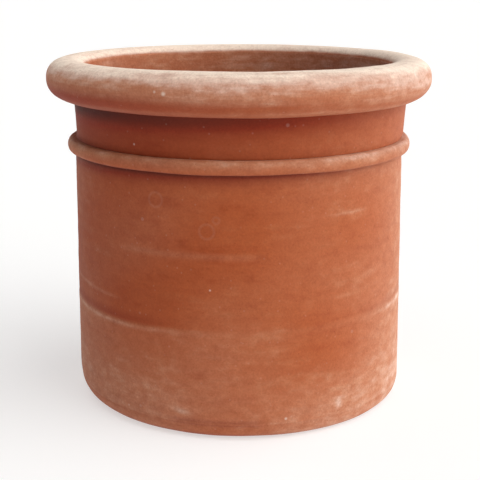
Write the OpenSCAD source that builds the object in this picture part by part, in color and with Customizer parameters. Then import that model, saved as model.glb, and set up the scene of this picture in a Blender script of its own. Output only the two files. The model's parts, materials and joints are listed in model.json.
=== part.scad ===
// Hand-built terracotta pot: a plain drum with a heavy rolled rim and one raised band.
//
// It is put together from leather-hard clay: a floor slab, two wall courses, a collar, and coils
// for the inside corner, the band and the rim. Slip joins them before firing, so nothing moves.
// Each piece sits on the next by a ledge, a bevel, a groove or a tongue, as a potter cuts them.
//
// Millimetres, +Z up. The origin is the middle of the underside, where the pot rests.

/* [Drum] */
// Overall height, from the underside to the crown of the rim
pot_h = 354; // [330:2:400]
// Inside diameter, the same from the floor to the mouth
bore_d = 320; // [260:5:380]
// Thickness of the wall just under the raised band
wall_t = 12; // [9:0.5:13]
// How much further out the wall stands at the foot than under the band
foot_flare = 2.6; // [0:0.2:5]

/* [Floor] */
// Thickness of the floor slab inside the wall
floor_t = 20; // [18:1:26]
// Height of the ledge round the slab, which the wall stands on
ledge_h = 16; // [16:1:17]
// Radius of the rounded edge round the underside
foot_round = 15; // [5:1:15]
// Diameter of the drainage hole
hole_d = 30; // [16:1:50]
// Height and width of the coil pressed into the inside corner
corner_leg = 12; // [6:1:20]

/* [Courses] */
// Height of the outside seam between the two wall courses
seam_z = 110; // [60:5:200]
// How much higher a bevelled joint ends inside the pot than outside
bevel_rise = 8; // [3:1:12]

/* [Raised band] */
// Height of the middle of the band
band_z = 266; // [250:1:280]
// Height of the band itself
band_h = 14.5; // [10:0.5:22]
// How far the band stands out of the wall
band_out = 8; // [6:0.5:12]
// Radial depth of the band's rounded face
band_round = 5.5; // [3:0.5:6]
// Depth of the groove that keys the band into the wall
band_key = 2; // [1:0.5:4]

/* [Collar] */
// How far the collar is set in from the wall under the band
collar_in = 0.6; // [0:0.2:1]
// How much the collar widens on its way up to the rim
collar_flare = 2.4; // [0:0.2:4]
// Width of the tongue that stands up into the rim
tongue_w = 5; // [4:0.5:6]
// Height of that tongue
tongue_h = 8; // [4:1:12]

/* [Rolled rim] */
// Height of the rim, from its underside to its crown
rim_h = 42; // [36:1:50]
// Width of the outer curve, from the crown to the widest point
rim_out = 25; // [18:1:32]
// Width of the inner curve, from the mouth to the crown
rim_in = 15; // [15:1:20]
// Depth of the inner curve, where the crown rolls over into the mouth
lip_h = 9; // [5:1:14]
// Fullness of the upper half of the outer curve: 2 is an ellipse, and more is closer to a square
rim_full = 2.5; // [2:0.1:3]

/* [Hidden] */
$fn = 180;

arc_step = 10;
bore_r = bore_d / 2;
waist_r = bore_r + wall_t;
foot_r = waist_r + foot_flare;

band_low = band_z - band_h / 2;
band_high = band_z + band_h / 2;
groove_r = waist_r - band_key;

rim_z = pot_h - rim_h;
rim_mid_z = pot_h - rim_h / 2;
crown_r = bore_r + rim_in;
collar_r = waist_r - collar_in;
collar_top_r = collar_r + collar_flare;
tongue_r = bore_r + (collar_top_r - bore_r - tongue_w) / 2;

// A sine or cosine pushed outwards, which turns an ellipse into a fuller curve.
function fuller(share, full) = sign(share) * pow(abs(share), 2 / full);

// Points on an elliptical arc about [r, z], from one angle up to another, measured from straight out.
function arc(r, z, width, height, from, to, full = 2) = [
    for (a = [from : arc_step : to])
        [r + width * fuller(cos(a), full), z + height * fuller(sin(a), full)]
];

// Outside radius of the tapering wall at height z.
function wall_r(z) = foot_r - foot_flare * (z - ledge_h) / (band_low - ledge_h);

// Turns a half section, drawn in radius and height, about the pot's axis.
module turned(section) {
    rotate_extrude() polygon(section);
}

// Disc with a rounded lower edge and a raised middle that locates the wall.
module floor_slab() {
    color("sienna")
    difference() {
        turned(concat(
            [[0, 0]],
            arc(foot_r - foot_round, foot_round, foot_round, foot_round, -90, 0),
            [[foot_r, ledge_h], [bore_r, ledge_h], [bore_r, floor_t], [0, floor_t]]
        ));
        translate([0, 0, -1]) cylinder(d = hole_d, h = floor_t + 2);
    }
}

// Coil smeared into a hollow fillet between the floor and the wall.
module corner_coil() {
    toe_r = bore_r - corner_leg;
    color("rosybrown")
    turned(concat(
        arc(toe_r, floor_t + corner_leg, corner_leg, corner_leg, -90, 0),
        [[bore_r, floor_t]]
    ));
}

// First course: stands on the slab's ledge and ends in a bevel.
module lower_wall() {
    color("peru")
    turned([
        [bore_r, ledge_h],
        [wall_r(ledge_h), ledge_h],
        [wall_r(seam_z), seam_z],
        [bore_r, seam_z + bevel_rise]
    ]);
}

// Second course: bevelled at both ends, and grooved for the lower half of the band.
module upper_wall() {
    color("chocolate")
    turned([
        [bore_r, seam_z + bevel_rise],
        [wall_r(seam_z), seam_z],
        [wall_r(band_low), band_low],
        [groove_r, band_low],
        [groove_r, band_z],
        [bore_r, band_z + bevel_rise]
    ]);
}

// Coil with a rounded face, pressed into the groove over the joint behind it.
module raised_band() {
    round_r = waist_r + band_out - band_round;
    color("burlywood")
    turned(concat(
        [[groove_r, band_high], [groove_r, band_low]],
        arc(round_r, band_z, band_round, band_h / 2, -90, 90)
    ));
}

// Neck course: grooved for the upper half of the band, with a tongue along its top edge.
module collar() {
    color("indianred")
    turned([
        [bore_r, band_z + bevel_rise],
        [groove_r, band_z],
        [groove_r, band_high],
        [collar_r, band_high],
        [collar_top_r, rim_z],
        [tongue_r + tongue_w, rim_z],
        [tongue_r + tongue_w, rim_z + tongue_h],
        [tongue_r, rim_z + tongue_h],
        [tongue_r, rim_z],
        [bore_r, rim_z]
    ]);
}

// Thick coil rolled over the top of the collar, with a groove for the collar's tongue.
module rolled_rim() {
    color("sandybrown")
    turned(concat(
        [
            [bore_r, rim_z],
            [tongue_r, rim_z],
            [tongue_r, rim_z + tongue_h],
            [tongue_r + tongue_w, rim_z + tongue_h],
            [tongue_r + tongue_w, rim_z]
        ],
        arc(crown_r, rim_mid_z, rim_out, rim_h / 2, -90, -arc_step),
        arc(crown_r, rim_mid_z, rim_out, rim_h / 2, 0, 90, rim_full),
        arc(crown_r, pot_h - lip_h, rim_in, lip_h, 90 + arc_step, 180)
    ));
}

floor_slab();
corner_coil();
lower_wall();
upper_wall();
raised_band();
collar();
rolled_rim();
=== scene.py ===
import json
import math

import bpy
import numpy as np
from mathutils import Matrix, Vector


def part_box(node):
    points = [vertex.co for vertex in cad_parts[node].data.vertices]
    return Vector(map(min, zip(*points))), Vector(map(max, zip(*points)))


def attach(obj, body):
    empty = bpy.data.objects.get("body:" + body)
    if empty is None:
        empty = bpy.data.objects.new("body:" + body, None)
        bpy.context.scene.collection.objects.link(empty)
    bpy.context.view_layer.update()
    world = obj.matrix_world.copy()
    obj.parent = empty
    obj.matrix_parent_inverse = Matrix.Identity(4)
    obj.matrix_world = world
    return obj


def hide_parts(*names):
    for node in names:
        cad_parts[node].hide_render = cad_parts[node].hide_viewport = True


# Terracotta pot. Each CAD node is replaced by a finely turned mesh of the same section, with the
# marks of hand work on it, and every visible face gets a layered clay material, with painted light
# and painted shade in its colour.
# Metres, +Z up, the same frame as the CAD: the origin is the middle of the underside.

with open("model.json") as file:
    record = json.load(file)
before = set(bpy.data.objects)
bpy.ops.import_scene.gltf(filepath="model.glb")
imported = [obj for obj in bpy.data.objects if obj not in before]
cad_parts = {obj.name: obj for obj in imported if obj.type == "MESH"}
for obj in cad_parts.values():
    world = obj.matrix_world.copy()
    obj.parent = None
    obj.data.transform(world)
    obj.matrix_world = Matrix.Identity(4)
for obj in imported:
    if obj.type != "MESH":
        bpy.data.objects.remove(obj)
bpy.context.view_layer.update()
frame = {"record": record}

MM = 0.001

# ---------------------------------------------------------------- sizes taken from the frame


def radius_of(node):
    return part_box(node)[1].x


def low_of(node):
    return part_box(node)[0].z


def high_of(node):
    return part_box(node)[1].z


RIM_R = radius_of("rolled_rim")
RIM_LOW = low_of("rolled_rim")
RIM_HIGH = high_of("rolled_rim")
COLLAR_TOP_R = radius_of("collar")
TONGUE_TOP = high_of("collar")
BAND_R = radius_of("raised_band")
BAND_LOW = low_of("raised_band")
BAND_HIGH = high_of("raised_band")
BAND_MID = low_of("collar")
BAND_JOINT_IN = high_of("upper_wall")
SEAM_OUT = low_of("upper_wall")
SEAM_IN = high_of("lower_wall")
LEDGE = low_of("lower_wall")
FOOT_R = radius_of("floor_slab")
FLOOR_TOP = high_of("floor_slab")
BORE_R = radius_of("corner_coil")
COIL_TOP = high_of("corner_coil")
HOLE_R = next(m["dims"]["r_mm"] for m in frame["record"]["mounts"] if m["kind"] == "bore") * MM

# Parts of the section that a box doesn't show, the same as in the CAD model.
BAND_OUT = 8 * MM
BAND_ROUND = 5.5 * MM
BAND_KEY = 2 * MM
COLLAR_IN = 0.6 * MM
TONGUE_W = 5 * MM
RIM_OUT = 25 * MM
RIM_FULL = 2.5
LIP_H = 9 * MM
FOOT_ROUND = 15 * MM

WAIST_R = BAND_R - BAND_OUT
GROOVE_R = WAIST_R - BAND_KEY
COLLAR_R = WAIST_R - COLLAR_IN
CROWN_R = RIM_R - RIM_OUT
RIM_MID = (RIM_LOW + RIM_HIGH) / 2
RIM_HALF = (RIM_HIGH - RIM_LOW) / 2
TONGUE_R = BORE_R + (COLLAR_TOP_R - BORE_R - TONGUE_W) / 2


def wall_r(z):
    """Outside radius of the tapering wall."""
    return FOOT_R + (WAIST_R - FOOT_R) * (z - LEDGE) / (BAND_LOW - LEDGE)


# ---------------------------------------------------------------- camera and light

CAMERA_BACK = 1.1308
CAMERA_HEIGHT = 0.4438
CAMERA_TILT = math.radians(12.72)
CAMERA_LENS = 80.52
CAMERA_SHIFT = (0.0023, -0.0625)


def make_camera():
    data = bpy.data.cameras.new("camera")
    data.sensor_width = 36.0
    data.lens = CAMERA_LENS
    data.shift_x, data.shift_y = CAMERA_SHIFT
    camera = bpy.data.objects.new("camera", data)
    camera.location = (0.0, -CAMERA_BACK, CAMERA_HEIGHT)
    camera.rotation_euler = (math.pi / 2 - CAMERA_TILT, 0.0, 0.0)
    bpy.context.scene.collection.objects.link(camera)
    bpy.context.scene.camera = camera


SUN_SPREAD = math.radians(60)
WARM = (1.0, 0.98, 0.95)
FAINTLY_WARM = (1.0, 0.99, 0.97)
WHITE = (1.0, 1.0, 1.0)

# The soft lamps: name, turn from the front towards +X, height above level, strength and colour.
SUNS = [
    ("key", 60, 25, 1.8, WARM),
    ("high_key", 70, 60, 0.9, WARM),
    ("edge", 115, 12, 1.6, FAINTLY_WARM),
    ("overhead", 0, 80, 0.6, WHITE),
    ("fill", -60, 60, 0.15, WHITE),
    ("back", 215, 40, 0.2, WHITE),
]


def make_sun(name, turn, height, strength, colour):
    """A distant soft lamp, placed by its turn and height in degrees."""
    data = bpy.data.lights.new(name, "SUN")
    data.angle = SUN_SPREAD
    data.energy = strength
    data.color = colour
    lamp = bpy.data.objects.new(name, data)
    lamp.rotation_euler = (math.radians(90 - height), 0.0, math.radians(turn))
    bpy.context.scene.collection.objects.link(lamp)


def make_world(level, overhead, fade_from, fade_to):
    """A pale studio: bright up to fade_from degrees above the horizon, and dimmer past fade_to."""
    world = bpy.data.worlds.new("studio")
    world.use_nodes = True
    nodes = world.node_tree.nodes
    links = world.node_tree.links
    split = nodes.new("ShaderNodeSeparateXYZ")
    links.new(nodes.new("ShaderNodeTexCoord").outputs["Generated"], split.inputs[0])
    rise = nodes.new("ShaderNodeMapRange")
    rise.interpolation_type = "SMOOTHSTEP"
    rise.inputs["From Min"].default_value = math.sin(math.radians(fade_from))
    rise.inputs["From Max"].default_value = math.sin(math.radians(fade_to))
    rise.inputs["To Min"].default_value = level
    rise.inputs["To Max"].default_value = overhead
    links.new(split.outputs["Z"], rise.inputs["Value"])
    background = nodes["Background"]
    background.inputs["Color"].default_value = (*WHITE, 1.0)
    links.new(rise.outputs[0], background.inputs["Strength"])
    bpy.context.scene.world = world


def make_floor(radius, colour, glow):
    """A plain pale floor. It glows a little, as a light table does, so that it shows no hard shadow."""
    bpy.ops.mesh.primitive_circle_add(vertices=128, radius=radius, fill_type="NGON")
    floor = bpy.context.object
    floor.name = "floor"
    material = bpy.data.materials.new("floor")
    material.use_nodes = True
    shader = material.node_tree.nodes["Principled BSDF"]
    shader.inputs["Base Color"].default_value = (*colour, 1.0)
    shader.inputs["Roughness"].default_value = 1.0
    shader.inputs["Specular IOR Level"].default_value = 0.0
    shader.inputs["Emission Color"].default_value = (*WHITE, 1.0)
    shader.inputs["Emission Strength"].default_value = glow
    floor.data.materials.append(material)


make_camera()
make_world(level=0.78, overhead=0.0, fade_from=9.0, fade_to=11.0)
for sun in SUNS:
    make_sun(*sun)
make_floor(radius=60.0, colour=(0.52, 0.52, 0.52), glow=0.54)
bpy.context.scene.view_settings.view_transform = "Standard"

# ---------------------------------------------------------------- marks of the hand

random = np.random.default_rng(7)


def waves(count, around, along, fade=1.0):
    """A smooth field over angle and height, made of random waves that close round the pot.

    around is the lowest and highest number of waves round the pot, and along the longest and
    shortest wavelength up it. The field's values lie mostly between -1 and 1."""
    turns = random.integers(around[0], around[1] + 1, count)
    lengths = np.exp(random.uniform(math.log(along[1]), math.log(along[0]), count))
    phases = random.uniform(0, 2 * math.pi, count)
    signs = random.choice([-1, 1], count)
    sizes = (lengths / along[0]) ** fade
    sizes = sizes / math.sqrt((sizes**2).sum() / 2)

    def field(angle, z):
        total = np.zeros(np.broadcast(angle, z).shape)
        for turn, length, phase, sign, size in zip(turns, lengths, phases, signs, sizes):
            total += size * np.cos(turn * angle * sign + 2 * math.pi * z / length + phase)
        return total / 2

    return field


# Slow bulges of the whole pot, dents the size of a hand, rings left by turning, and small knocks.
bulges = waves(14, (2, 5), (0.9, 0.25))
dents = waves(40, (4, 16), (0.2, 0.05), 0.5)
rings = waves(30, (0, 2), (0.03, 0.006), 0.6)
knocks = waves(60, (15, 45), (0.07, 0.02), 0.3)


def smooth(low, high, value):
    """0 below low, 1 above high, and an even rise between."""
    t = np.clip((value - low) / (high - low), 0, 1)
    return t * t * (3 - 2 * t)


def bump(value, centre, width):
    """1 at centre, and next to nothing two widths away from it."""
    return np.exp(-(((value - centre) / width) ** 2))


def turn_between(angle, centre):
    """Signed angle from centre, in degrees, with centre in degrees from the front towards +X."""
    return (np.degrees(angle) - centre + 180) % 360 - 180


def between(value, low, high, soft):
    """1 from low to high, and 0 outside them, with edges soft wide."""
    return smooth(low - soft, low, value) * (1 - smooth(high, high + soft, value))


def seam_line(angle):
    """Height of the seam between the wall courses, which wanders a few millimetres."""
    return SEAM_OUT + 2 * MM * np.sin(angle - 0.4) + 1.5 * MM * np.sin(3 * angle + 1.0)


def seam_strength(angle):
    """The seam was smoothed over at the front, and shows best at the sides and the back."""
    return 0.06 + 0.94 * smooth(20, 62, np.abs(turn_between(angle, 15)))


def out_of_round(angle, z):
    """How far the whole pot stands in from its true circle, never outwards."""
    return -0.5 * MM * (1 + np.clip(bulges(angle, z), -1, 1)) / 2


def lean(z):
    """Shift towards +X: the foot and the neck were set a little to one side of the rim."""
    foot = 0.4 * MM * (1 - smooth(0, 220 * MM, z))
    neck = 1.2 * MM * between(z, BAND_HIGH + 6 * MM, RIM_LOW, 8 * MM)
    return foot + neck


# Nicks: the turn in degrees from the front towards +X, height, size and depth.
NICKS = [
    (59.5, 343.5 * MM, 3.5 * MM, 1.6 * MM),
    (-118, 344 * MM, 3.0 * MM, 0.8 * MM),
    (152, 318 * MM, 4.0 * MM, 0.7 * MM),
    (-47, 94 * MM, 2.0 * MM, 0.4 * MM),
    (118, 12 * MM, 5.0 * MM, 1.0 * MM),
    (-160, 268 * MM, 3.0 * MM, 0.8 * MM),
]


def chips(angle, z):
    """Depth of the few real nicks."""
    total = 0
    for turn, height, size, depth in NICKS:
        sideways = np.radians(turn_between(angle, turn)) * RIM_R
        away = (sideways**2 + (z - height) ** 2) / size**2
        total = total + depth * np.exp(-(away**2))
    return total


def foot_corner(angle, z):
    """The lower edge is more worn at the left, and sharper at the right."""
    side = turn_between(angle, 0)
    worn = -2.2 * MM * bump(side, -62, 42) * bump(z, 10 * MM, 11 * MM)
    sharp = 1.4 * MM * bump(side, 52, 34) * bump(z, 4 * MM, 6 * MM)
    return (worn + sharp) * smooth(0, 2 * MM, z)


# The outside's marks are set in by the height of the highest, so that none of them stands proud of
# the CAD model's surface, apart from the sharp stretch of the lower edge.
HIGHEST_MARK = 0.3 * MM

# How much further up a field the inside reads it, in metres, so that its marks aren't the outside's.
INNER_SHIFT = 0.5


def outer_relief(angle, z):
    """Height of the outside's surface marks."""
    relief = 0.2 * MM * dents(angle, z) + 0.07 * MM * rings(angle, z) + 0.05 * MM * knocks(angle, z)
    on_seam = z - seam_line(angle)
    step = 0.35 * MM * (1 - smooth(-0.8 * MM, 0.8 * MM, on_seam)) * smooth(-14 * MM, 0, on_seam)
    crease = -0.25 * MM * bump(on_seam, 1.2 * MM, 1.6 * MM)
    foot = -0.08 * MM * bump(z, LEDGE, 1.4 * MM)
    under_band = -0.5 * MM * bump(z, BAND_LOW - 0.5 * MM, 1.0 * MM)
    marks = relief + seam_strength(angle) * (step + crease) + foot + under_band
    set_in = np.minimum(marks, HIGHEST_MARK) - HIGHEST_MARK
    return set_in - chips(angle, z) + foot_corner(angle, z)


def inner_relief(angle, z):
    """The inside is rougher, with clear turning lines."""
    relief = 0.3 * MM * dents(angle, z + INNER_SHIFT) + 0.28 * MM * rings(angle, z)
    return relief + 0.08 * MM * knocks(angle, z)


# ---------------------------------------------------------------- weathering, painted light and shade
#
# Each colouring function gives two amounts for a skin. The first, from 0 to 1, is the pale lime that
# has come out of the clay, together with painted light: paler clay on the side that faces the lamps,
# on the seam's edge and in a few shaded places. The second, from 0 to 1, is a darker red, some of it
# the clay's own and most of it painted shade above the seam, under the band and the rim and on the
# shaded side, and from 1 to 2 it goes on to a nearly black red, painted shade in the corner under the
# rim.

tides = waves(24, (1, 7), (0.3, 0.08), 0.6)


def side_light_and_bloom(angle):
    """Paler clay: a painted highlight on the side that faces the lamps, a little painted sheen at the
    shaded edge, and a little bloom on the back.
    """
    side = turn_between(angle, 0)
    return 0.25 * bump(side, 86, 38) + 0.03 * bump(side, -88, 32) + 0.05 * bump(side, 180, 60)


def shaded(angle):
    """How far the clay is on the shaded side, from 0 to 1, where painted shade darkens it."""
    return bump(turn_between(angle, -70), 0, 65)


def unlit_share(angle):
    """Share of the painted shade under the rim and the band that is kept: less on the side that faces
    the lamps.
    """
    return 1 - 0.85 * bump(turn_between(angle, 80), 0, 58)


def patch(angle, z, turn, height, wide, high, climb):
    """A soft patch at turn degrees and at height, wide degrees across and high metres up. Its middle
    line climbs by climb metres for each degree."""
    away = turn_between(angle, turn)
    return bump(away, 0, wide) * bump(z, height + climb * away, high)


def foot_smear(angle):
    """1 where a red-brown smear follows the foot's joint, at the front and a little to the left."""
    return between(turn_between(angle, 0), -20, 4, 6)


# Pale scuffs on the wall: turn from the front towards +X, height, width in degrees, height of the
# patch, climb for each degree, and strength.
SCUFFS = [
    (38, 217 * MM, 8, 1.6 * MM, 0, 0.16),
    (-19, 28 * MM, 3.5, 4 * MM, -0.8 * MM, 0.22),
    (34, 27 * MM, 1.2, 5 * MM, 0, 0.25),
]


def wall_colouring(angle, z, up):
    side = turn_between(angle, 0)
    on_seam = z - seam_line(angle)
    low = 1 - smooth(-4 * MM, 4 * MM, on_seam)
    left = bump(side, -75, 45)

    # A painted highlight on the side that faces the lamps and on the seam's own edge, and paler
    # towards the foot and below the seam.
    bloom_and_light = side_light_and_bloom(angle) + 0.02 + 0.05 * tides(angle, z)
    bloom_and_light = bloom_and_light + low * (0.04 + 0.08 * left) + 0.11 * (1 - smooth(25 * MM, 85 * MM, z))
    bloom_and_light = bloom_and_light + 0.20 * seam_strength(angle) * bump(on_seam, -2.2 * MM, 2.6 * MM)

    # A painted highlight on a second ledge at the left, which falls a little towards the front, and a
    # wiped line in front.
    second_ledge = 131 * MM - 0.1 * MM * (side + 60)
    bloom_and_light = bloom_and_light + 0.10 * bump(z, second_ledge, 1.8 * MM) * between(side, -100, -50, 12)
    wiped_line = 182 * MM
    bloom_and_light = bloom_and_light + 0.08 * bump(z, wiped_line, 3.5 * MM) * between(side, -36, 2, 8)
    for turn, height, wide, high, climb, strength in SCUFFS:
        bloom_and_light = bloom_and_light + strength * patch(angle, z, turn, height, wide, high, climb)

    # Painted shade just above the seam, under the band and on the shaded side, less of it under the
    # band on the side that faces the lamps, and a red-brown smear along the foot's joint.
    dark_red_and_shade = 0.40 * seam_strength(angle) * bump(on_seam, 5.0 * MM, 5.0 * MM)
    under_band = smooth(BAND_LOW - 16 * MM, BAND_LOW, z)
    dark_red_and_shade = dark_red_and_shade + 0.8 * bump(z, BAND_LOW, 2.2 * MM) * unlit_share(angle)
    dark_red_and_shade = dark_red_and_shade + (0.65 + 0.25 * shaded(angle)) * unlit_share(angle) * under_band
    dark_red_and_shade = dark_red_and_shade + shaded(angle) * (0.34 + 0.14 * smooth(0, 20 * MM, on_seam))
    dark_red_and_shade = dark_red_and_shade + 0.5 * foot_smear(angle) * bump(z, LEDGE + 2.5 * MM, 2 * MM)
    return bloom_and_light, dark_red_and_shade


def foot_colouring(angle, z, up):
    # Bloom, with a painted highlight on the side that faces the lamps.
    bloom_and_light = 0.17 + side_light_and_bloom(angle) + 0.05 * tides(angle, z)
    # A little darker red all round, more towards the very bottom and in a line at the foot's joint,
    # painted shade on the shaded side, and a red-brown smear at the front and a little to the left.
    dark_red_and_shade = 0.12 + 0.12 * shaded(angle) + 0.10 * bump(z, LEDGE, 1.5 * MM)
    dark_red_and_shade = dark_red_and_shade + 0.7 * (1 - smooth(1 * MM, 7 * MM, z))
    dark_red_and_shade = dark_red_and_shade + 0.4 * foot_smear(angle) * smooth(LEDGE - 4 * MM, LEDGE, z)
    return bloom_and_light, dark_red_and_shade


def band_colouring(angle, z, up):
    # Bloom, most on the upper faces, with a painted highlight on the side that faces the lamps.
    bloom_and_light = 0.7 * side_light_and_bloom(angle) + 0.05 * tides(angle, z) + 0.06 + 0.22 * bump(up, 0.70, 0.6)
    # Painted shade on the underside and on the shaded side, less of it on the side that faces the
    # lamps.
    dark_red_and_shade = 1.2 * (1 - smooth(-1.0, -0.5, up)) + 0.35 * shaded(angle) * (1 - smooth(-0.2, 0.8, up))
    return bloom_and_light, dark_red_and_shade * unlit_share(angle)


def collar_colouring(angle, z, up):
    # A little bloom, and a little painted highlight on the side that faces the lamps.
    bloom_and_light = 0.35 * side_light_and_bloom(angle) + 0.03 * tides(angle, z)
    # A darker red collar, with painted shade on the shaded side and growing towards the rim's
    # underside, up to a nearly black red painted shade right under it; less of all of it on the side
    # that faces the lamps.
    dark_red_and_shade = 0.45 + 0.35 * shaded(angle) + 0.5 * smooth(RIM_LOW - 26 * MM, RIM_LOW - 6 * MM, z)
    dark_red_and_shade = dark_red_and_shade + (0.3 + 0.5 * shaded(angle)) * smooth(RIM_LOW - 16 * MM, RIM_LOW - 2 * MM, z)
    return bloom_and_light, dark_red_and_shade * unlit_share(angle)


def rim_colouring(angle, z, up):
    side = turn_between(angle, 0)
    # Bloom, thickest on top, with a little painted highlight on the side that faces the lamps.
    bloom_and_light = 0.34 + 0.66 * up + 0.06 * tides(angle, z) + 0.1 * side_light_and_bloom(angle)
    # Less bloom as painted shade on the shaded side, and less on the upper shoulder.
    bloom_and_light = bloom_and_light - 0.16 * shaded(angle) * bump(up, 0.1, 0.4) - 0.13 * bump(up, 0.5, 0.3)
    # Painted light: more bloom on the underside on the side that faces the lamps.
    bloom_and_light = bloom_and_light + 0.22 * bump(side, 60, 55) * bump(up, -0.55, 0.38)
    # On top, a painted highlight on the side that faces the lamps, and less bloom at the front.
    bloom_and_light = bloom_and_light + smooth(0.3, 1.0, up) * (0.09 * bump(side, 70, 50) - 0.10 * bump(side, -10, 28))
    # Painted light: at least some bloom on the side that faces the lamps, and a pale line low
    # underneath.
    bloom_and_light = np.maximum(bloom_and_light, 0.03 + 0.14 * (1 - unlit_share(angle))) + 0.1 * bump(up, -0.85, 0.1)
    # Painted shade on the underside, darkest where it faces straight down, and on the shaded side; less
    # of it on the side that faces the lamps.
    dark_red_and_shade = 0.30 * (1 - smooth(-0.6, 0.0, up)) + 0.6 * (1 - smooth(-1.0, -0.93, up))
    dark_red_and_shade = dark_red_and_shade + 0.75 * shaded(angle) * (1 - smooth(-0.3, 0.45, up))
    return bloom_and_light, dark_red_and_shade * unlit_share(angle)


def weather_lip(angle, z, up):
    bloom_and_light = 0.24 + 0.70 * smooth(0.2, 0.85, up) + 0.05 * tides(angle, z)
    return bloom_and_light, 0


def inside_colouring(angle, z, up):
    # Painted light on the inside wall at the right, which lies in shade, and darker towards the bottom.
    painted_light_inside = bump(turn_between(angle, 105), 0, 60)
    bloom_and_light = 0.20 + 0.20 * painted_light_inside + 0.06 * tides(angle, z + INNER_SHIFT)
    return bloom_and_light, 0.25 * (1 - smooth(50 * MM, 250 * MM, z))


def weather_joint(angle, z, up):
    return 0.05, 0.2


# ---------------------------------------------------------------- turned meshes

# Steps round the pot, and the usual steps along the section: fine on the outside and on curves,
# and coarse on the plain inside and the joints.
SEGMENTS = 600
FINE = 1.6 * MM
COARSE = 3.5 * MM

RELIEFS = {"outer": outer_relief, "lip": outer_relief, "inner": inner_relief}
COLOURINGS = {"lip": weather_lip, "inner": inside_colouring, "joint": weather_joint}


def line(start, end, step):
    """Points from start to end, both as (radius, height)."""
    start, end = np.array(start), np.array(end)
    count = max(1, round(float(np.linalg.norm(end - start)) / step))
    return start + (end - start) * np.linspace(0, 1, count + 1)[:, None]


def fuller(share, full):
    """A sine or cosine pushed outwards, which turns an ellipse into a fuller curve."""
    return np.sign(share) * np.abs(share) ** (2 / full)


def arc(centre, width, height, first, last, step, full=2.0):
    """Points on an elliptical arc between two angles in degrees, measured from straight out."""
    count = max(2, round(math.radians(abs(last - first)) * max(width, height) / step))
    angles = np.radians(np.linspace(first, last, count + 1))
    across = width * fuller(np.round(np.cos(angles), 9), full)
    along = height * fuller(np.round(np.sin(angles), 9), full)
    return np.stack([centre[0] + across, centre[1] + along], 1)


def give_values(mesh, name, kind, values):
    """Stores one value for each vertex, for the materials to read."""
    field = "vector" if kind == "FLOAT_VECTOR" else "value"
    layer = mesh.attributes.new(name, kind, "POINT")
    layer.data.foreach_set(field, np.ascontiguousarray(values, np.float32).ravel())


def facing(run):
    """The way that each point of a run faces, as (outward, upward)."""
    along = np.gradient(run, axis=0)
    along = along / np.linalg.norm(along, axis=1)[:, None]
    return np.stack([along[:, 1], -along[:, 0]], 1)


def rows_of(runs):
    """The section's points, the way each faces, the skin each has, and the numbers of the corners.

    A corner belongs to the face that shows, so that two pieces still meet there without a gap."""
    points, out, skins, corners = [], [], [], []
    for index, (skin, run) in enumerate(runs):
        corners.append(len(points))
        points.extend(run[:-1])
        out.extend(facing(run)[:-1])
        skins.extend([skin] * (len(run) - 1))
        if skin == "joint":
            skin_before, run_before = runs[index - 1]
            skins[corners[-1]] = skin_before
            out[corners[-1]] = facing(run_before)[-1]
    return np.array(points), np.array(out), skins, corners


def unroll(points, angle):
    """A place for each vertex that runs on evenly along the section, for the streaks round the pot."""
    travelled = np.cumsum(np.linalg.norm(points - np.roll(points, 1, 0), axis=1))
    places = np.zeros((len(points), SEGMENTS, 3))
    places[:, :, 0] = RIM_R * np.sin(angle)
    places[:, :, 1] = -RIM_R * np.cos(angle)
    places[:, :, 2] = travelled[:, None]
    return places


def quads_between(count):
    """The faces between count rows of vertices, closed round the pot and round the section."""
    row, column = np.meshgrid(np.arange(count), np.arange(SEGMENTS), indexing="ij")
    next_row, next_column = (row + 1) % count, (column + 1) % SEGMENTS
    corners = [
        row * SEGMENTS + column,
        row * SEGMENTS + next_column,
        next_row * SEGMENTS + next_column,
        next_row * SEGMENTS + column,
    ]
    return np.stack(corners, 2).reshape(-1, 4)


def sharpen(mesh, rows):
    """Marks the edges that run round the pot at these rows as sharp."""
    sharp_rows = np.zeros(len(mesh.vertices) // SEGMENTS, bool)
    sharp_rows[rows] = True
    ends = np.zeros(len(mesh.edges) * 2, int)
    mesh.edges.foreach_get("vertices", ends)
    ends = ends.reshape(-1, 2) // SEGMENTS
    sharp = (ends[:, 0] == ends[:, 1]) & sharp_rows[ends[:, 0]]
    mesh.attributes.new("sharp_edge", "BOOLEAN", "EDGE").data.foreach_set("value", sharp)


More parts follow.
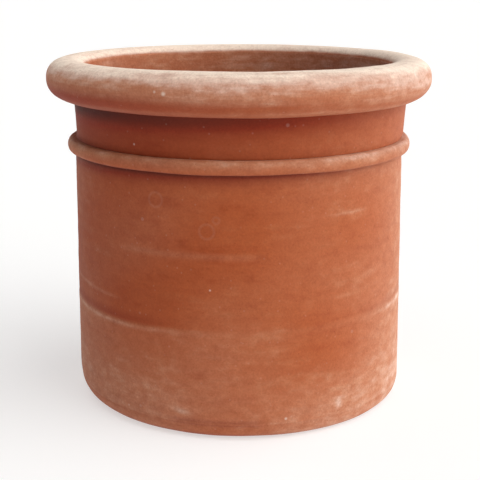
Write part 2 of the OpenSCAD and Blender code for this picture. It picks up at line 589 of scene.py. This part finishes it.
def turned(name, runs, material, colouring=None):
    """A closed mesh turned from a half section, which replaces the CAD node it is named after.

    runs is a list of (skin, points) in order round the section, with the clay on the left, and skin
    is outer, lip, inner or joint. The last argument colours the outer skin: bloom and darker red,
    with painted light and painted shade."""
    points, out, skins, corners = rows_of(runs)
    count = len(points)
    angle = np.arange(SEGMENTS) * 2 * math.pi / SEGMENTS
    relief = np.zeros((count, SEGMENTS))
    bloom_and_light = np.zeros((count, SEGMENTS))
    dark_red_and_shade = np.zeros((count, SEGMENTS))
    for row, skin in enumerate(skins):
        height, up = points[row, 1], out[row, 1]
        if skin in RELIEFS:
            relief[row] = RELIEFS[skin](angle, height)
        bloom_and_light[row], dark_red_and_shade[row] = COLOURINGS.get(skin, colouring)(angle, height, up)

    radius = points[:, 0, None]
    z = points[:, 1, None]
    inward_fade = np.clip(radius / BORE_R, 0, 1) ** 2
    r = radius + out[:, 0, None] * relief + out_of_round(angle[None, :], z) * inward_fade
    x = r * np.sin(angle) + lean(z) * inward_fade
    y = -r * np.cos(angle)
    places = np.stack([x, y, z + out[:, 1, None] * relief], 2).reshape(-1, 3)

    mesh = bpy.data.meshes.new(name)
    mesh.from_pydata(places.tolist(), [], quads_between(count).tolist())
    mesh.update()
    mesh.shade_smooth()
    sharpen(mesh, corners)
    give_values(mesh, "bloom_and_light", "FLOAT", np.clip(bloom_and_light, 0, 1))
    give_values(mesh, "dark_red_and_shade", "FLOAT", np.clip(dark_red_and_shade, 0, 2))
    give_values(mesh, "unrolled", "FLOAT_VECTOR", unroll(points, angle))
    mesh.materials.append(material)

    piece = bpy.data.objects.new(name, mesh)
    bpy.context.scene.collection.objects.link(piece)
    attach(piece, "root")
    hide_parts(name.removesuffix("_clay"))


# ---------------------------------------------------------------- materials


class Graph:
    """A node material, with one short call for each kind of node."""

    def __init__(self, name):
        self.material = bpy.data.materials.new(name)
        self.material.use_nodes = True
        self.tree = self.material.node_tree
        self.shader = self.tree.nodes["Principled BSDF"]
        self.place = self.add("ShaderNodeTexCoord").outputs["Object"]
        self.unrolled = self.add("ShaderNodeAttribute", attribute_name="unrolled").outputs["Vector"]

    def add(self, kind, **settings):
        node = self.tree.nodes.new(kind)
        for key, value in settings.items():
            setattr(node, key, value)
        return node

    def feed(self, socket, value):
        if isinstance(value, bpy.types.NodeSocket):
            self.tree.links.new(value, socket)
        elif isinstance(value, tuple) and len(value) == 3 and socket.type == "RGBA":
            socket.default_value = (*value, 1.0)
        else:
            socket.default_value = value

    def math(self, operation, *values, clamp=False):
        node = self.add("ShaderNodeMath", operation=operation, use_clamp=clamp)
        for socket, value in zip(node.inputs, values):
            self.feed(socket, value)
        return node.outputs[0]

    def plus(self, *values):
        total = values[0]
        for value in values[1:]:
            total = self.math("ADD", total, value)
        return total

    def times(self, first, second):
        return self.math("MULTIPLY", first, second)

    def swing(self, noise, amount):
        """The noise as a change about 0, up to amount each way."""
        return self.times(self.math("SUBTRACT", noise, 0.5), 2 * amount)

    def noise(self, scale, stretch=(1.0, 1.0, 1.0), detail=3.0, roughness=0.55, place=None):
        """Noise from 0 to 1 with a grain of about 1 / scale metres, longer along small stretches."""
        mapping = self.add("ShaderNodeMapping")
        self.feed(mapping.inputs["Vector"], place or self.place)
        self.feed(mapping.inputs["Scale"], stretch)
        node = self.add("ShaderNodeTexNoise")
        self.feed(node.inputs["Vector"], mapping.outputs[0])
        self.feed(node.inputs["Scale"], scale)
        self.feed(node.inputs["Detail"], detail)
        self.feed(node.inputs["Roughness"], roughness)
        return node.outputs["Fac"]

    def ramp(self, value, low, high, to_low=0.0, to_high=1.0):
        """Smooth step of value from low to high."""
        node = self.add("ShaderNodeMapRange", interpolation_type="SMOOTHSTEP")
        for socket, given in zip(node.inputs, (value, low, high, to_low, to_high)):
            self.feed(socket, given)
        return node.outputs[0]

    def mix(self, share, first, second, blend="MIX"):
        """Two colours mixed by share. The node's colours are its inputs 6 and 7 and its output 2."""
        node = self.add("ShaderNodeMix", data_type="RGBA", blend_type=blend, clamp_factor=True)
        self.feed(node.inputs[0], share)
        self.feed(node.inputs[6], first)
        self.feed(node.inputs[7], second)
        return node.outputs[2]

    def attribute(self, name):
        return self.add("ShaderNodeAttribute", attribute_name=name).outputs["Fac"]

    def specks(self, spacing, size, share):
        """Round specks of up to size metres, in share of the cells of a grid spacing metres wide."""
        cells = self.add("ShaderNodeTexVoronoi", feature="F1")
        self.feed(cells.inputs["Vector"], self.place)
        self.feed(cells.inputs["Scale"], 1 / spacing)
        split = self.add("ShaderNodeSeparateColor")
        self.feed(split.inputs[0], cells.outputs["Color"])
        chosen = self.math("LESS_THAN", split.outputs[0], share)
        edge = size / spacing
        return self.times(chosen, self.ramp(cells.outputs["Distance"], edge, 0.4 * edge))

    def away_from(self, turn, radius, height):
        """Distance in metres from a point on the pot, turn degrees from the front towards +X."""
        angle = math.radians(turn)
        node = self.add("ShaderNodeVectorMath", operation="DISTANCE")
        self.feed(node.inputs[0], self.place)
        node.inputs[1].default_value = (radius * math.sin(angle), -radius * math.cos(angle), height)
        return node.outputs["Value"]

    def spot(self, turn, radius, height, size):
        """A round pale spot: lime, and in the rim's nick a painted highlight."""
        return self.ramp(self.away_from(turn, radius, height), size, 0.1 * size)

    def ring(self, turn, radius, height, size, width):
        """The ring that a drop of hard water leaves when it dries."""
        off = self.math("ABSOLUTE", self.math("SUBTRACT", self.away_from(turn, radius, height), size))
        return self.ramp(off, width, 0.0)


CLAY = (0.455, 0.108, 0.032)
CLAY_RED = (0.405, 0.083, 0.022)
CLAY_TAN = (0.48, 0.140, 0.052)
# The dark red of the painted shade and of the grit.
DEEP = (0.26, 0.028, 0.007)
# Nearly black red: painted shade in the corner under the rim.
UNDER_RIM_SHADE = (0.085, 0.010, 0.004)
# Colours of the bloom, which the painted light on the clay uses too.
THIN_BLOOM_AND_LIGHT = (0.90, 0.67, 0.47)
BLOOM_AND_LIGHT = (0.92, 0.77, 0.65)
# Lime, and the painted highlight in the rim's nick.
LIME_AND_HIGHLIGHT = (0.95, 0.88, 0.78)
DUST_TINT = (1.0, 0.93, 0.86)

# How strongly each kind of mark covers the clay, and the width of the line of a water ring.
FINE_SPECKS = 0.05
LARGE_SPECKS = 0.08
SPOTS = 0.5
WATER_RINGS = 0.03
GRIT = 0.35
WATER_RING_LINE = 2.2 * MM


def clay(name, streaky=1.0, drawn_out=0.26, spots=(), water_rings=()):
    """Fired clay: mottled body, turning streaks, patches of bloom and painted light, darker red and
    painted shade, lime specks and a fine grain.

    streaky is how strongly the bloom is smeared, and drawn_out is how flat the smears are.
    spots and water_rings are marks in known places, as (turn, radius, height, size)."""
    g = Graph(name)
    clouds = g.noise(9.0, (1.0, 1.0, 1.7), detail=4.0)
    mottle = g.noise(85.0, (1.0, 1.0, 1.5), detail=3.0)
    streaks = g.noise(120.0, (0.07, 0.07, 1.0), detail=4.0, roughness=0.6, place=g.unrolled)
    smears = g.noise(110.0, (drawn_out, drawn_out, 1.0), detail=5.0, roughness=0.62, place=g.unrolled)
    grain = g.noise(480.0, detail=2.0, roughness=0.7)
    bloom_and_light_share = g.attribute("bloom_and_light")

    # The body is mottled red, orange and tan, and darker red, mostly as painted shade, with a nearly
    # black red painted shade in the corner under the rim.
    warm = g.plus(g.times(clouds, 0.45), g.times(streaks, 0.3), g.times(mottle, 0.25))
    body = g.mix(g.ramp(warm, 0.36, 0.50), CLAY_RED, CLAY)
    body = g.mix(g.ramp(warm, 0.50, 0.66), body, CLAY_TAN)
    dark_red_and_shade = g.plus(g.attribute("dark_red_and_shade"), g.swing(smears, 0.12))
    body = g.mix(dark_red_and_shade, body, DEEP)
    body = g.mix(g.math("SUBTRACT", dark_red_and_shade, 1.0, clamp=True), body, UNDER_RIM_SHADE)

    # The bloom and the painted light lie in patches and smears, and are whiter where they are thick.
    patches = g.plus(g.swing(smears, 0.34 * streaky), g.swing(mottle, 0.22), g.swing(clouds, 0.25))
    edge = g.ramp(g.plus(bloom_and_light_share, patches), 0.12, 0.92)
    unevenness = g.plus(
        0.68, g.swing(mottle, 0.25), g.swing(smears, 0.24 * streaky), g.swing(grain, 0.16)
    )
    bloom_and_light = g.plus(g.times(bloom_and_light_share, unevenness), g.times(edge, 0.32))
    colour = g.mix(bloom_and_light, body, g.mix(g.ramp(bloom_and_light, 0.15, 0.5), THIN_BLOOM_AND_LIGHT, BLOOM_AND_LIGHT))

    # Lime specks, spots and water rings, with a painted highlight in the rim's nick, then dark grit.
    fine_specks = g.times(g.specks(9 * MM, 1.3 * MM, 0.7), FINE_SPECKS)
    large_specks = g.times(g.specks(34 * MM, 2.4 * MM, 0.4), LARGE_SPECKS)
    lime_and_highlight = g.math("MAXIMUM", fine_specks, large_specks)
    for turn, radius, height, size in spots:
        spot = g.spot(turn, radius, height, size)
        lime_and_highlight = g.math("MAXIMUM", lime_and_highlight, g.times(spot, SPOTS))
    for turn, radius, height, size in water_rings:
        ring = g.ring(turn, radius, height, size, WATER_RING_LINE)
        lime_and_highlight = g.math("MAXIMUM", lime_and_highlight, g.times(ring, WATER_RINGS))
    colour = g.mix(lime_and_highlight, colour, LIME_AND_HIGHLIGHT)

    dark_grit = g.times(g.specks(6 * MM, 0.8 * MM, 0.5), GRIT)
    colour = g.mix(dark_grit, colour, DEEP)

    # The grain shades the colour a little here, and roughens the surface further down.
    shade = g.plus(1.0, g.swing(grain, 0.22), g.swing(mottle, 0.08))
    tone = g.add("ShaderNodeCombineColor")
    for socket in tone.inputs[:3]:
        g.feed(socket, shade)
    colour = g.mix(1.0, colour, tone.outputs[0], "MULTIPLY")
    g.feed(g.shader.inputs["Base Color"], colour)

    g.feed(g.shader.inputs["Roughness"], g.ramp(bloom_and_light, 0.0, 0.8, 0.72, 0.9))
    g.shader.inputs["Specular IOR Level"].default_value = 0.2
    g.shader.inputs["Diffuse Roughness"].default_value = 0.5
    g.shader.inputs["Sheen Weight"].default_value = 0.03
    g.shader.inputs["Sheen Roughness"].default_value = 0.35
    g.shader.inputs["Sheen Tint"].default_value = (*DUST_TINT, 1.0)

    pits = g.times(g.specks(4 * MM, 0.7 * MM, 0.5), -1.0)
    fine = g.add("ShaderNodeBump")
    fine.inputs["Strength"].default_value = 0.5
    fine.inputs["Distance"].default_value = 0.4 * MM
    g.feed(fine.inputs["Height"], g.plus(grain, g.times(streaks, 0.6), g.times(mottle, 0.5), pits))
    g.feed(g.shader.inputs["Normal"], fine.outputs[0])
    return g.material


wall_clay = clay(
    "wall_clay",
    spots=[
        (-39, FOOT_R, 21 * MM, 2.2 * MM),
        (15, FOOT_R, 21 * MM, 2.0 * MM),
        (-9, WAIST_R, 150 * MM, 1.6 * MM),
    ],
    water_rings=[
        (-27, WAIST_R, 233 * MM, 7 * MM),
        (-7, WAIST_R, 217 * MM, 3 * MM),
        (-10, WAIST_R, 206 * MM, 7 * MM),
    ],
)
rim_clay = clay(
    "rim_clay",
    streaky=1.6,
    drawn_out=0.13,
    spots=[
        # A painted highlight in the nick at the rim's right.
        (59.5, RIM_R - 3 * MM, 344 * MM, 5.0 * MM),
        (-19.5, RIM_R, 335.5 * MM, 3.0 * MM),
        (-22, RIM_R, 337 * MM, 2.0 * MM),
    ],
)
band_clay = clay("band_clay", streaky=1.2)
collar_clay = clay("collar_clay", spots=[(-35, COLLAR_R, 283 * MM, 1.8 * MM)])
foot_clay = clay("foot_clay")
inner_clay = clay("inner_clay", streaky=1.3)

# ---------------------------------------------------------------- the seven pieces


def make_floor_slab():
    ease = 2 * MM
    turned("floor_slab_clay", [
        ("outer", arc((FOOT_R - FOOT_ROUND, FOOT_ROUND), FOOT_ROUND, FOOT_ROUND, -90, 0, FINE)),
        ("outer", line((FOOT_R, FOOT_ROUND), (FOOT_R, LEDGE), 0.5 * MM)),
        ("joint", line((FOOT_R, LEDGE), (BORE_R, LEDGE), COARSE)),
        ("joint", line((BORE_R, LEDGE), (BORE_R, FLOOR_TOP), COARSE)),
        ("inner", line((BORE_R, FLOOR_TOP), (HOLE_R + ease, FLOOR_TOP), COARSE)),
        ("joint", arc((HOLE_R + ease, FLOOR_TOP - ease), -ease, ease, 90, 0, 0.6 * MM)),
        ("joint", line((HOLE_R, FLOOR_TOP - ease), (HOLE_R, ease), COARSE)),
        ("joint", arc((HOLE_R + ease, ease), -ease, -ease, 0, 90, 0.6 * MM)),
        ("joint", line((HOLE_R + ease, 0.0), (FOOT_R - FOOT_ROUND, 0.0), COARSE)),
    ], foot_clay, foot_colouring)


def make_corner_coil():
    leg = COIL_TOP - FLOOR_TOP
    turned("corner_coil_clay", [
        ("joint", line((BORE_R - leg, FLOOR_TOP), (BORE_R, FLOOR_TOP), COARSE)),
        ("joint", line((BORE_R, FLOOR_TOP), (BORE_R, COIL_TOP), COARSE)),
        ("inner", arc((BORE_R - leg, COIL_TOP), leg, leg, 0, -90, FINE)),
    ], inner_clay)


def make_lower_wall():
    turned("lower_wall_clay", [
        ("joint", line((BORE_R, LEDGE), (FOOT_R, LEDGE), COARSE)),
        ("outer", line((FOOT_R, LEDGE), (wall_r(LEDGE + 4 * MM), LEDGE + 4 * MM), 0.5 * MM)),
        ("outer", line((wall_r(LEDGE + 4 * MM), LEDGE + 4 * MM), (wall_r(SEAM_OUT), SEAM_OUT), FINE)),
        ("joint", line((wall_r(SEAM_OUT), SEAM_OUT), (BORE_R, SEAM_IN), COARSE)),
        ("inner", line((BORE_R, SEAM_IN), (BORE_R, LEDGE), COARSE)),
    ], wall_clay, wall_colouring)


def make_upper_wall():
    turned("upper_wall_clay", [
        ("joint", line((BORE_R, SEAM_IN), (wall_r(SEAM_OUT), SEAM_OUT), COARSE)),
        ("outer", line((wall_r(SEAM_OUT), SEAM_OUT), (WAIST_R, BAND_LOW), FINE)),
        ("joint", line((WAIST_R, BAND_LOW), (GROOVE_R, BAND_LOW), COARSE)),
        ("joint", line((GROOVE_R, BAND_LOW), (GROOVE_R, BAND_MID), COARSE)),
        ("joint", line((GROOVE_R, BAND_MID), (BORE_R, BAND_JOINT_IN), COARSE)),
        ("inner", line((BORE_R, BAND_JOINT_IN), (BORE_R, SEAM_IN), COARSE)),
    ], wall_clay, wall_colouring)


def make_raised_band():
    half = (BAND_HIGH - BAND_LOW) / 2
    centre = (BAND_R - BAND_ROUND, BAND_LOW + half)
    turned("raised_band_clay", [
        ("joint", line((GROOVE_R, BAND_HIGH), (GROOVE_R, BAND_LOW), COARSE)),
        ("outer", line((GROOVE_R, BAND_LOW), (centre[0], BAND_LOW), 1 * MM)),
        ("outer", arc(centre, BAND_ROUND, half, -90, 90, 0.8 * MM)),
        ("outer", line((centre[0], BAND_HIGH), (GROOVE_R, BAND_HIGH), 1 * MM)),
    ], band_clay, band_colouring)


def make_collar():
    turned("collar_clay", [
        ("joint", line((BORE_R, BAND_JOINT_IN), (GROOVE_R, BAND_MID), COARSE)),
        ("joint", line((GROOVE_R, BAND_MID), (GROOVE_R, BAND_HIGH), COARSE)),
        ("joint", line((GROOVE_R, BAND_HIGH), (COLLAR_R, BAND_HIGH), COARSE)),
        ("outer", line((COLLAR_R, BAND_HIGH), (COLLAR_TOP_R, RIM_LOW), FINE)),
        ("joint", line((COLLAR_TOP_R, RIM_LOW), (TONGUE_R + TONGUE_W, RIM_LOW), COARSE)),
        ("joint", line((TONGUE_R + TONGUE_W, RIM_LOW), (TONGUE_R + TONGUE_W, TONGUE_TOP), COARSE)),
        ("joint", line((TONGUE_R + TONGUE_W, TONGUE_TOP), (TONGUE_R, TONGUE_TOP), COARSE)),
        ("joint", line((TONGUE_R, TONGUE_TOP), (TONGUE_R, RIM_LOW), COARSE)),
        ("joint", line((TONGUE_R, RIM_LOW), (BORE_R, RIM_LOW), COARSE)),
        ("inner", line((BORE_R, RIM_LOW), (BORE_R, BAND_JOINT_IN), COARSE)),
    ], collar_clay, collar_colouring)


def make_rolled_rim():
    lip_w = CROWN_R - BORE_R
    lower_half = arc((CROWN_R, RIM_MID), RIM_OUT, RIM_HALF, -90, 0, FINE)
    upper_half = arc((CROWN_R, RIM_MID), RIM_OUT, RIM_HALF, 0, 90, FINE, RIM_FULL)
    turned("rolled_rim_clay", [
        ("joint", line((BORE_R, RIM_LOW), (TONGUE_R, RIM_LOW), COARSE)),
        ("joint", line((TONGUE_R, RIM_LOW), (TONGUE_R, TONGUE_TOP), COARSE)),
        ("joint", line((TONGUE_R, TONGUE_TOP), (TONGUE_R + TONGUE_W, TONGUE_TOP), COARSE)),
        ("joint", line((TONGUE_R + TONGUE_W, TONGUE_TOP), (TONGUE_R + TONGUE_W, RIM_LOW), COARSE)),
        ("joint", line((TONGUE_R + TONGUE_W, RIM_LOW), (CROWN_R, RIM_LOW), 1 * MM)),
        ("outer", np.concatenate([lower_half[:-1], upper_half])),
        ("lip", arc((CROWN_R, RIM_HIGH - LIP_H), lip_w, LIP_H, 90, 180, FINE)),
        ("inner", line((BORE_R, RIM_HIGH - LIP_H), (BORE_R, RIM_LOW), COARSE)),
    ], rim_clay, rim_colouring)


make_floor_slab()
make_corner_coil()
make_lower_wall()
make_upper_wall()
make_raised_band()
make_collar()
make_rolled_rim()
